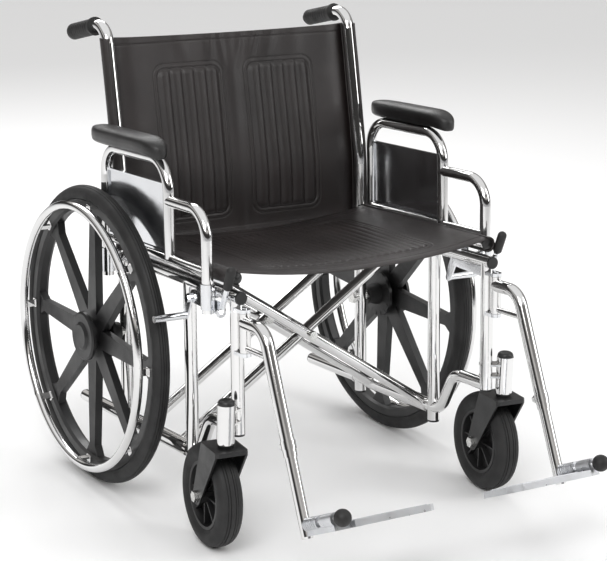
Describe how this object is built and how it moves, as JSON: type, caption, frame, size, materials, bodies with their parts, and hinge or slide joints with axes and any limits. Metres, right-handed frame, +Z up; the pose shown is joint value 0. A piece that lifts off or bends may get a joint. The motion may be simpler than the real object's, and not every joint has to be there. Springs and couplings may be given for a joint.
{
  "type": "manual wheelchair",
  "caption": "Folding manual wheelchair with a tubular cross-braced frame, moulded wheels with handrims, casters, sling seat, padded desk arms and swing-away footrests.",
  "frame": {"origin": "middle of the chair's footprint box, on the floor", "axes": "+X to the user's left, +Y to the back, +Z up"},
  "size_m": [0.806, 1.1523, 0.9273],
  "materials": {
    "chrome_tube": "bright plated",
    "polished_steel": "polished",
    "fastener": "plated",
    "bracket": "satin black",
    "fork_black": "satin black",
    "wheel_plastic": "moulded, satin",
    "tyre": "moulded, matt",
    "grip_black": "ribbed, matt",
    "plug_black": "moulded",
    "pad_vinyl": "padded vinyl, satin",
    "sling_vinyl": "sewn vinyl, satin",
    "cast_aluminium": "satin casting"
  },
  "bodies": {
    "right_frame": {"rear_post_right": "chrome_tube", "grip_right": "grip_black", "top_rail_right": "chrome_tube", "lower_rail_right": "chrome_tube", "side_posts_right": "chrome_tube", "end_plugs_right": "plug_black", "frame_brackets_right": "polished_steel", "axle_bolt_right": "fastener", "caster_housing_right": "chrome_tube", "back_sling": "sling_vinyl"},
    "brace_b": {"cross_brace_b": "chrome_tube", "seat_rail_left": "chrome_tube", "brace_bolts": "fastener"},
    "brace_a": {"cross_brace_a": "chrome_tube", "seat_rail_right": "chrome_tube"},
    "left_frame": {"rear_post_left": "chrome_tube", "grip_left": "grip_black", "top_rail_left": "chrome_tube", "lower_rail_left": "chrome_tube", "side_posts_left": "chrome_tube", "end_plugs_left": "plug_black", "frame_brackets_left": "polished_steel", "axle_bolt_left": "fastener", "caster_housing_left": "chrome_tube"},
    "seat": {"seat_sling": "sling_vinyl"},
    "wheel_right": {"rear_wheel_right": "wheel_plastic", "rear_tyre_right": "tyre", "handrim_right": "chrome_tube"},
    "fork_right": {"caster_fork_right": "fork_black", "caster_axle_right": "fastener"},
    "caster_right": {"caster_wheel_right": "wheel_plastic", "caster_tyre_right": "tyre"},
    "armrest_right": {"armrest_frame_right": "chrome_tube", "arm_pad_right": "pad_vinyl", "side_panel_right": "polished_steel"},
    "brake_lever_right": {"lock_lever_right": "polished_steel", "lock_grip_right": "grip_black"},
    "brake_shoe_right": {"lock_shoe_right": "polished_steel"},
    "hanger_right": {"hanger_right": "chrome_tube"},
    "leg_right": {"leg_tube_right": "chrome_tube", "leg_bumper_right": "grip_black"},
    "plate_right": {"footplate_right": "cast_aluminium"},
    "wheel_left": {"rear_wheel_left": "wheel_plastic", "rear_tyre_left": "tyre", "handrim_left": "chrome_tube"},
    "fork_left": {"caster_fork_left": "fork_black", "caster_axle_left": "fastener"},
    "caster_left": {"caster_wheel_left": "wheel_plastic", "caster_tyre_left": "tyre"},
    "armrest_left": {"armrest_frame_left": "chrome_tube", "arm_pad_left": "pad_vinyl", "side_panel_left": "polished_steel"},
    "brake_lever_left": {"lock_lever_left": "polished_steel", "lock_grip_left": "grip_black"},
    "brake_shoe_left": {"lock_shoe_left": "polished_steel"},
    "hanger_left": {"hanger_left": "chrome_tube"},
    "leg_left": {"leg_tube_left": "chrome_tube", "leg_bumper_left": "grip_black"},
    "plate_left": {"footplate_left": "cast_aluminium"}
  },
  "joints": [
    {"name": "fold", "type": "hinge", "parent": "right_frame", "child": "brace_b", "pos_m": [-0.286, 0.10836, 0.13091], "axis": [0, -0.9976, 0.0698], "range_deg": [0, 48], "deforming": ["seat_sling", "back_sling"]},
    {"name": "brace_scissor", "type": "hinge", "parent": "brace_b", "child": "brace_a", "pos_m": [0, 0.12147, 0.31846], "axis": [0, -0.9976, 0.0698], "range_deg": [-96, 0]},
    {"name": "left_frame_level", "type": "hinge", "parent": "brace_a", "child": "left_frame", "pos_m": [0.286, 0.10836, 0.13091], "axis": [0, -0.9976, 0.0698], "range_deg": [0, 48]},
    {"name": "seat_level", "type": "hinge", "parent": "brace_a", "child": "seat", "pos_m": [-0.286, 0.04481, 0.51228], "axis": [0, -0.9976, 0.0698], "range_deg": [0, 48]},
    {"name": "wheel_spin_right", "type": "hinge", "parent": "right_frame", "child": "wheel_right", "pos_m": [-0.355, 0.2709, 0.305], "axis": [1, 0, 0], "continuous": true},
    {"name": "caster_swivel_right", "type": "hinge", "parent": "right_frame", "child": "fork_right", "pos_m": [-0.321, -0.2101, 0.25], "axis": [0, 0, 1], "continuous": true},
    {"name": "caster_roll_right", "type": "hinge", "parent": "fork_right", "child": "caster_right", "pos_m": [-0.31554, -0.15336, 0.1016], "axis": [0.9954, -0.0958, 0], "continuous": true},
    {"name": "armrest_lift_right", "type": "slide", "parent": "right_frame", "child": "armrest_right", "axis": [0, 0.0698, 0.9976], "range_m": [0, 0.07]},
    {"name": "brake_lever_right", "type": "hinge", "parent": "right_frame", "child": "brake_lever_right", "pos_m": [-0.307, -0.15945, 0.45839], "axis": [1, 0, 0], "range_deg": [0, 45]},
    {"name": "brake_shoe_right", "type": "hinge", "parent": "right_frame", "child": "brake_shoe_right", "pos_m": [-0.307, -0.03733, 0.45587], "axis": [1, 0, 0], "range_deg": [0, 7]},
    {"name": "hanger_swing_right", "type": "hinge", "parent": "right_frame", "child": "hanger_right", "pos_m": [-0.286, -0.21327, 0.43409], "axis": [0, -0.0698, -0.9976], "range_deg": [0, 100]},
    {"name": "leg_length_right", "type": "slide", "parent": "hanger_right", "child": "leg_right", "axis": [0, -0.4384, -0.8988], "range_m": [-0.05, 0.06]},
    {"name": "footplate_fold_right", "type": "hinge", "parent": "leg_right", "child": "plate_right", "pos_m": [-0.286, -0.49343, 0.16337], "axis": [0, -0.8988, 0.4384], "range_deg": [0, 90]},
    {"name": "wheel_spin_left", "type": "hinge", "parent": "left_frame", "child": "wheel_left", "pos_m": [0.355, 0.2709, 0.305], "axis": [1, 0, 0], "continuous": true},
    {"name": "caster_swivel_left", "type": "hinge", "parent": "left_frame", "child": "fork_left", "pos_m": [0.321, -0.2101, 0.25], "axis": [0, 0, 1], "continuous": true},
    {"name": "caster_roll_left", "type": "hinge", "parent": "fork_left", "child": "caster_left", "pos_m": [0.32646, -0.15336, 0.1016], "axis": [0.9954, -0.0958, 0], "continuous": true},
    {"name": "armrest_lift_left", "type": "slide", "parent": "left_frame", "child": "armrest_left", "axis": [0, 0.0698, 0.9976], "range_m": [0, 0.07]},
    {"name": "brake_lever_left", "type": "hinge", "parent": "left_frame", "child": "brake_lever_left", "pos_m": [0.307, -0.15945, 0.45839], "axis": [1, 0, 0], "range_deg": [0, 45]},
    {"name": "brake_shoe_left", "type": "hinge", "parent": "left_frame", "child": "brake_shoe_left", "pos_m": [0.307, -0.03733, 0.45587], "axis": [1, 0, 0], "range_deg": [0, 7]},
    {"name": "hanger_swing_left", "type": "hinge", "parent": "left_frame", "child": "hanger_left", "pos_m": [0.286, -0.21327, 0.43409], "axis": [0, 0.0698, 0.9976], "range_deg": [0, 100]},
    {"name": "leg_length_left", "type": "slide", "parent": "hanger_left", "child": "leg_left", "axis": [0, -0.4384, -0.8988], "range_m": [-0.05, 0.06]},
    {"name": "footplate_fold_left", "type": "hinge", "parent": "leg_left", "child": "plate_left", "pos_m": [0.286, -0.49343, 0.16337], "axis": [0, 0.8988, -0.4384], "range_deg": [0, 90]}
  ],
  "couplings": [
    {"joint": "brace_scissor", "follows": "fold", "ratio": -2},
    {"joint": "left_frame_level", "follows": "fold", "ratio": 1},
    {"joint": "seat_level", "follows": "fold", "ratio": 1},
    {"joint": "brake_shoe_right", "follows": "brake_lever_right", "ratio": 0.1555},
    {"joint": "footplate_fold_right", "follows": "fold", "ratio": 1.8},
    {"joint": "brake_shoe_left", "follows": "brake_lever_left", "ratio": 0.1555},
    {"joint": "footplate_fold_left", "follows": "fold", "ratio": 1.8}
  ]
}
